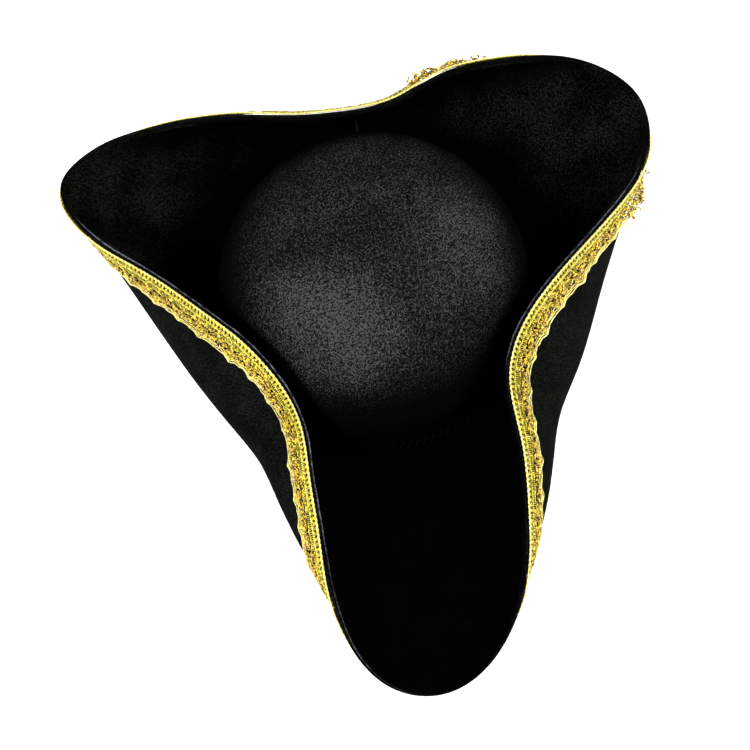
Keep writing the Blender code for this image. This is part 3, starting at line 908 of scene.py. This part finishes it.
def leaf(start, end, width, radius, lift):
    """A pointed loop from start to end, with a rib down its middle."""
    start, end = np.array(start), np.array(end)
    run = end - start
    side = np.array([-run[1], run[0]]) / np.linalg.norm(run)
    t = np.linspace(0, 1, 11)
    parts = []
    for sign in (-1, 1):
        bulge = np.sin(math.pi * t) ** 0.8 * width / 2 * sign
        flat = start + run * t[:, None] + side * bulge[:, None]
        path = np.column_stack([flat, lift + 0.0003 * np.sin(math.pi * t)])
        parts.append(tube(path, radius))
    flat = start + run * t[1:-1, None]
    path = np.column_stack([flat, np.full(9, lift + 0.0005)])
    parts.append(tube(path, radius * 0.9))
    return parts


def gimp_motif(pitch, rng):
    """One repeat's bronze swirl: a rosette over the shell, leaves beside it, and small curls that
    also cover the ladder in about half of the repeats."""
    middle = pitch / 2 + rng.normal(0, 0.0006)
    turn = rng.uniform(0, 6.28)
    size = rng.uniform(0.0024, 0.0030)
    centre = (middle, ROSETTE_DEPTH)
    parts = [spiral(centre, 0.0006, size, 2.2, turn, ROSETTE_RADIUS, 0.0011, 1.15)]
    sway = rng.normal(0, 0.0004, 4)
    start, end = (middle + 0.0029, 0.0132 + sway[0]), (middle + 0.0096, 0.0098 + sway[1])
    parts += leaf(start, end, 0.0030, LEAF_RADIUS, 0.0009)
    start, end = (middle - 0.0094, 0.0096 + sway[2]), (middle - 0.0033, 0.0118 + sway[3])
    parts += leaf(start, end, 0.0028, LEAF_RADIUS, 0.0009)
    covered = rng.uniform() < COVERED_SHARE
    for reach, depth in CURLS + COVERING_CURLS if covered else CURLS:
        centre = (middle + reach + rng.normal(0, 0.0004), depth + rng.normal(0, 0.0003))
        size, turn = rng.uniform(0.0011, 0.0017), rng.uniform(0, 6.28)
        parts.append(spiral(centre, 0.0003, size, 1.4, turn, CURL_RADIUS, 0.0008, sides=4))
    return parts


def gimp(lace, material):
    rng = np.random.default_rng(SEED + 4)
    parts = []
    for i in range(SHELLS):
        flat, quads = joined(gimp_motif(lace.pitch, rng))
        parts.append((flat + (i * lace.pitch, 0, 0), quads))
    return lace.sewn("bronze_gimp", parts, material, "lace_gimp")


def ground(lace, material):
    """The bright ground of the lace: ladder bars, its middle cord and the fan of each shell."""
    parts = lace.repeated(ladder(lace.pitch))
    def depth(share):
        return MIDDLE_CORD_DEPTH + 0.0005 * np.sin(4 * math.pi * share)
    parts.append(lace.cord(depth, level(0.0004), MIDDLE_CORD_RADIUS, 18))
    parts += lace.repeated(shell_fan(lace.pitch))
    return lace.sewn("lace_ground", parts, material)


def shell_fan(pitch):
    """Loops that spread from the gimp and make the shell, and the slanting threads behind them."""
    parts = []
    t = round_angles(12)
    for i, turn in enumerate(np.linspace(-FAN_SPREAD, FAN_SPREAD, FAN_LOOPS)):
        root = np.array([pitch / 2 + turn * 0.0016, FAN_ROOT])
        length = FAN_LENGTH - 0.0014 * abs(turn)
        run = np.array([math.sin(turn), math.cos(turn)]) * length / 2
        side = np.array([math.cos(turn), -math.sin(turn)]) * FAN_WIDTH
        flat = root + run + np.cos(t)[:, None] * run + np.sin(t)[:, None] * side
        lift = 0.0005 + 0.0002 * (i % 2)
        path = np.column_stack([flat, np.full(len(t), lift)])
        parts.append(tube(path, FAN_RADIUS, closed=True))
    radii = [SLANT_RADIUS] * SLANTS
    parts += crossing(pitch, radii, SLANT_DEPTHS, (0, 0.0004, -0.0003), (0.0003, 0.0005, 0.0003))
    return parts


def shell_cords(lace, material):
    """The cream cords that run on from shell to shell and come to a point at each."""
    parts = []
    rng = np.random.default_rng(SEED + 6)
    for base, rise, radius in SHELL_CORDS:
        sway = 0.0007 * smooth_random(rng, SHELLS * 24, 260)
        def depth(share, base=base, rise=rise, sway=sway):
            return base + sway + rise * (1 - 2 * np.abs(share - 0.5)) ** 2.2
        def lift(share):
            return 0.0006 + 0.0002 * np.cos(4 * math.pi * share)
        parts.append(lace.cord(depth, lift, radius, 24))
    return lace.sewn("shell_cords", parts, material)


def loose_threads(lace, material):
    """Ends of thread and single loops that stand off where the lace has come loose."""
    rng = np.random.default_rng(SEED + 5)
    azimuth = np.r_[lace.brim.azimuth, 360]
    parts = []
    for centre, width, height in LOOSE_LACE:
        for gap in rng.uniform(-width, width, LOOSE_ENDS):
            rib = np.interp((centre + gap) % 360, azimuth, np.arange(RIBS + 1))
            depth = rng.uniform(0.0115, 0.0155)
            start = np.array([rib / RIBS * lace.brim.length, depth, 0.0010])
            sway, drop = rng.normal(0, 0.0022), rng.uniform(0.0010, 0.0050)
            reach = np.array([sway, drop, rng.uniform(0.35, 0.85) * height])
            t = np.linspace(0, 1, 29)[:, None]
            turn = t * rng.uniform(9, 16) + gap
            curl = np.hstack([np.cos(turn), np.sin(turn), 0.4 * np.cos(2 * turn) + 0.4])
            path = start + reach * t + curl * rng.uniform(0.0006, 0.0014) * np.minimum(1, 3 * t)
            parts.append(tube(path, rng.uniform(0.00040, 0.00062)))
    places, quads = joined(parts)
    return finished("loose_threads", lace.brim.on_lace(places), quads, material, "gold_lace")


def lace_stitches(lace, material):
    """The thread that sews the lace on: a long zigzag that dips into the heading at each turn."""
    def depth(share):
        return SEWING_DEPTH + SEWING_SWING * (np.abs((share * 4) % 1 - 0.5) * 4 - 1)
    def lift(share):
        return 0.00085 + 0.0003 * np.abs(np.sin(math.pi * share * 4))
    cord = lace.cord(depth, lift, SEWING_RADIUS, 32)
    return lace.sewn("lace_sewing_thread", [cord], material, "lace_stitch_thread")


# -------------------- inside and threads

def ring_places(radius, angle, height):
    """Places round the crown's axis."""
    radius, angle, height = np.broadcast_arrays(radius, angle, height)
    places = direction(angle) * radius[..., None]
    places[..., 2] = height
    return places + np.array([AXIS.x, AXIS.y, 0])


def sweatband(material):
    """Grosgrain tape: a closed ring with upright ribs and a rolled hem along each edge."""
    angle = round_angles(BAND_SIDES)
    middle, half = (BAND_OUTER + BAND_INNER) / 2, BAND_THICKNESS / 2
    rows = np.r_[np.linspace(-1, -0.86, 4), np.linspace(-0.8, 0.8, 14), np.linspace(0.86, 1, 4)]
    heights = BAND_FOOT + BAND_HEIGHT * (rows + 1) / 2
    hem = np.clip((np.abs(rows) - 0.84) / 0.04, 0, 1)
    rib = 0.5 + 0.5 * np.cos(angle * BAND_RIBS)
    thick = half * (0.62 + 0.20 * rib[:, None] * (1 - hem) + 0.30 * hem)
    sway = 0.00018 * np.sin(angle * 5 + 1)[:, None] * (1 - np.abs(rows))
    inside = ring_places(middle - thick + sway, angle[:, None], heights)
    outside = ring_places(middle + thick + sway, angle[:, None], heights)
    sections = np.concatenate([outside, inside[:, ::-1]], axis=1)
    quads = grid_quads(BAND_SIDES, sections.shape[1], True, True)
    obj = finished("grosgrain_band", sections, quads, material, "sweatband_cloth", "sweatband")
    return obj


def label(material):
    """A blank satin label with folded ends, sewn to the sweatband at the back."""
    face = BAND_INNER * math.cos(math.pi / 36) - GAP
    half = LABEL_WIDTH / 2 / face
    angle = math.pi + np.linspace(-half, half, LABEL_COLUMNS)[:, None]
    across = np.linspace(-1, 1, LABEL_COLUMNS)[:, None]
    rows = np.linspace(0, 1, LABEL_ROWS)
    heights = LABEL_FOOT + LABEL_HEIGHT * rows
    fold = np.clip((np.abs(across) - 0.86) / 0.05, 0, 1) * 0.00012
    puff = 0.00008 * np.sin(math.pi * rows)[None] * np.cos(1.4 * across)
    near = ring_places(face - LABEL_THICKNESS * 0.7 - fold - puff, angle, heights)
    far = ring_places(face - LABEL_THICKNESS * 0.1, angle, heights)
    sections = np.concatenate([far, near[:, ::-1]], axis=1)
    size = 2 * LABEL_ROWS
    quads = grid_quads(LABEL_COLUMNS, size, False, True)
    ends = []
    for column, turn in ((0, 1), (LABEL_COLUMNS - 1, -1)):
        first, last = column * size, (column + 1) * size - 1
        for j in range(LABEL_ROWS - 1):
            ends.append([first + j, first + j + 1, last - 1 - j, last - j][::turn])
    quads = np.vstack([quads, ends])
    obj = finished("satin_label", sections, quads, material, "label_satin", "blank_label")
    return obj


def stitched_ring(name, count, low, high, radius, material, node):
    """A ring of stitches. low and high are the (radius, height) of the thread's turns."""
    steps = 10
    phase = np.arange(count * steps) / steps
    angle = phase * 2 * math.pi / count
    share = 0.5 - 0.5 * np.cos(2 * math.pi * phase)
    path = ring_places(between(low[0], high[0], share), angle, between(low[1], high[1], share))
    places, quads = tube(path, radius, closed=True)
    return finished(name, places, quads, material, "black_thread", node)


def crown_seam(material):
    """The overcast stitches that join crown and brim."""
    wall = HEAD_RADIUS + CROWN_FELT
    low = (wall + GAP + 0.0004 + 0.0016, CROWN_FOOT + 0.0004)
    high = (wall + 0.0003, CROWN_FOOT + 0.0054)
    return stitched_ring(
        "crown_seam_stitches", SEAM_STITCHES, low, high, SEAM_RADIUS, material, "crown_seam_thread"
    )


def band_stitches(material):
    """The zigzag stitches that hold the sweatband."""
    low = (BAND_INNER - 0.00030, BAND_FOOT + 0.0026)
    high = (BAND_INNER - 0.00010, BAND_FOOT + 0.0052)
    return stitched_ring(
        "band_stitches", BAND_STITCHES, low, high, BAND_STITCH_RADIUS, material, "sweatband_thread"
    )


def tack(name, material):
    """A bar of twisted threads from the crown's side to the turned-up brim, knotted at its ends."""
    node = "flap_tack_" + name
    low, high = [np.array(corner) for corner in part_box(node)]
    middle = (low + high) / 2
    centre = np.array([AXIS.x, AXIS.y, middle[2]])
    outward = (middle - centre) * (1, 1, 0)
    outward /= np.linalg.norm(outward)
    half = np.abs((high - low) / 2 @ np.abs(outward)) - TACK_KNOT
    half = max(half / (np.abs(outward[0]) + np.abs(outward[1])) * 1.15, 0.003)
    side = np.cross(outward, (0, 0, 1))
    t = np.linspace(-1, 1, 41)
    parts = []
    for strand in range(TACK_STRANDS):
        angle = strand * 2 * math.pi / TACK_STRANDS + t * TACK_TWIST
        swell = 0.00042 + 0.0006 * np.abs(t) ** 8
        path = (middle + outward * (half * t)[:, None]
                + side * (np.cos(angle) * swell)[:, None]
                + np.array([0, 0, 1]) * (np.sin(angle) * swell)[:, None])
        parts.append(tube(path, TACK_RADIUS))
    places, quads = joined(parts)
    return finished("tack_" + name, places, quads, material, "black_thread", node)


# -------------------- setting

def floor(material):
    corners = ((-1, -1), (1, -1), (1, 1), (-1, 1))
    mesh = bpy.data.meshes.new("floor")
    places = [(x * FLOOR_HALF, y * FLOOR_HALF, FLOOR_LEVEL) for x, y in corners]
    mesh.from_pydata(places, [], [(0, 1, 2, 3)])
    mesh.materials.append(material)
    obj = linked("floor", mesh)


def soft_light(name, place, power):
    data = bpy.data.lights.new(name, "AREA")
    data.shape = "DISK"
    data.size = LIGHT_SIZE
    data.energy = power
    obj = linked(name, data)
    obj.location = place
    obj.rotation_euler = (Vector(LIGHT_AIM) - Vector(place)).to_track_quat("-Z", "Y").to_euler()


def lighting():
    world = bpy.data.worlds.new("studio")
    world.use_nodes = True
    colour, strength = world.node_tree.nodes["Background"].inputs[:2]
    colour.default_value = (1, 1, 1, 1)
    strength.default_value = WORLD_LIGHT
    bpy.context.scene.world = world
    soft_light("key", KEY_PLACE, KEY_POWER)
    soft_light("fill", FILL_PLACE, FILL_POWER)
    view = bpy.context.scene.view_settings
    view.view_transform = "Standard"
    view.look = "None"
    view.exposure = 0
    view.gamma = 1


def main():
    camera()
    under_felt, core, upper_felt = outer_felt_material(), core_material(), inner_felt_material()
    bright = bright_gold_material()
    bronze = bronze_gold_material()
    cream = cream_gold_material()
    black = black_thread_material()

    brim = Brim()
    core_bottom = UNDER_FELT + GAP
    upper_bottom = core_bottom + CORE + GAP
    brim_ply(brim, "under_ply", 0, UNDER_FELT, 0, under_felt, "brim_felt", "brim_under_felt")
    brim_ply(brim, "core_ply", core_bottom, CORE, core_inset(), core, "core_board", "brim_core")
    brim_ply(brim, "upper_ply", upper_bottom, UPPER_FELT, 0, upper_felt, "brim_felt", "brim_upper_felt")
    lace = Lace(brim)
    picot(lace, cream)
    heading(lace, bright)
    ground(lace, bright)
    gimp(lace, bronze)
    shell_cords(lace, cream)
    lace_stitches(lace, bright)
    loose_threads(lace, bronze)
    crown(crown_felt_material())
    crown_seam(black)
    sweatband(sweatband_material())
    label(label_material())
    band_stitches(black)
    for name in TACKS:
        tack(name, black)
    floor(floor_material())
    lighting()


main()
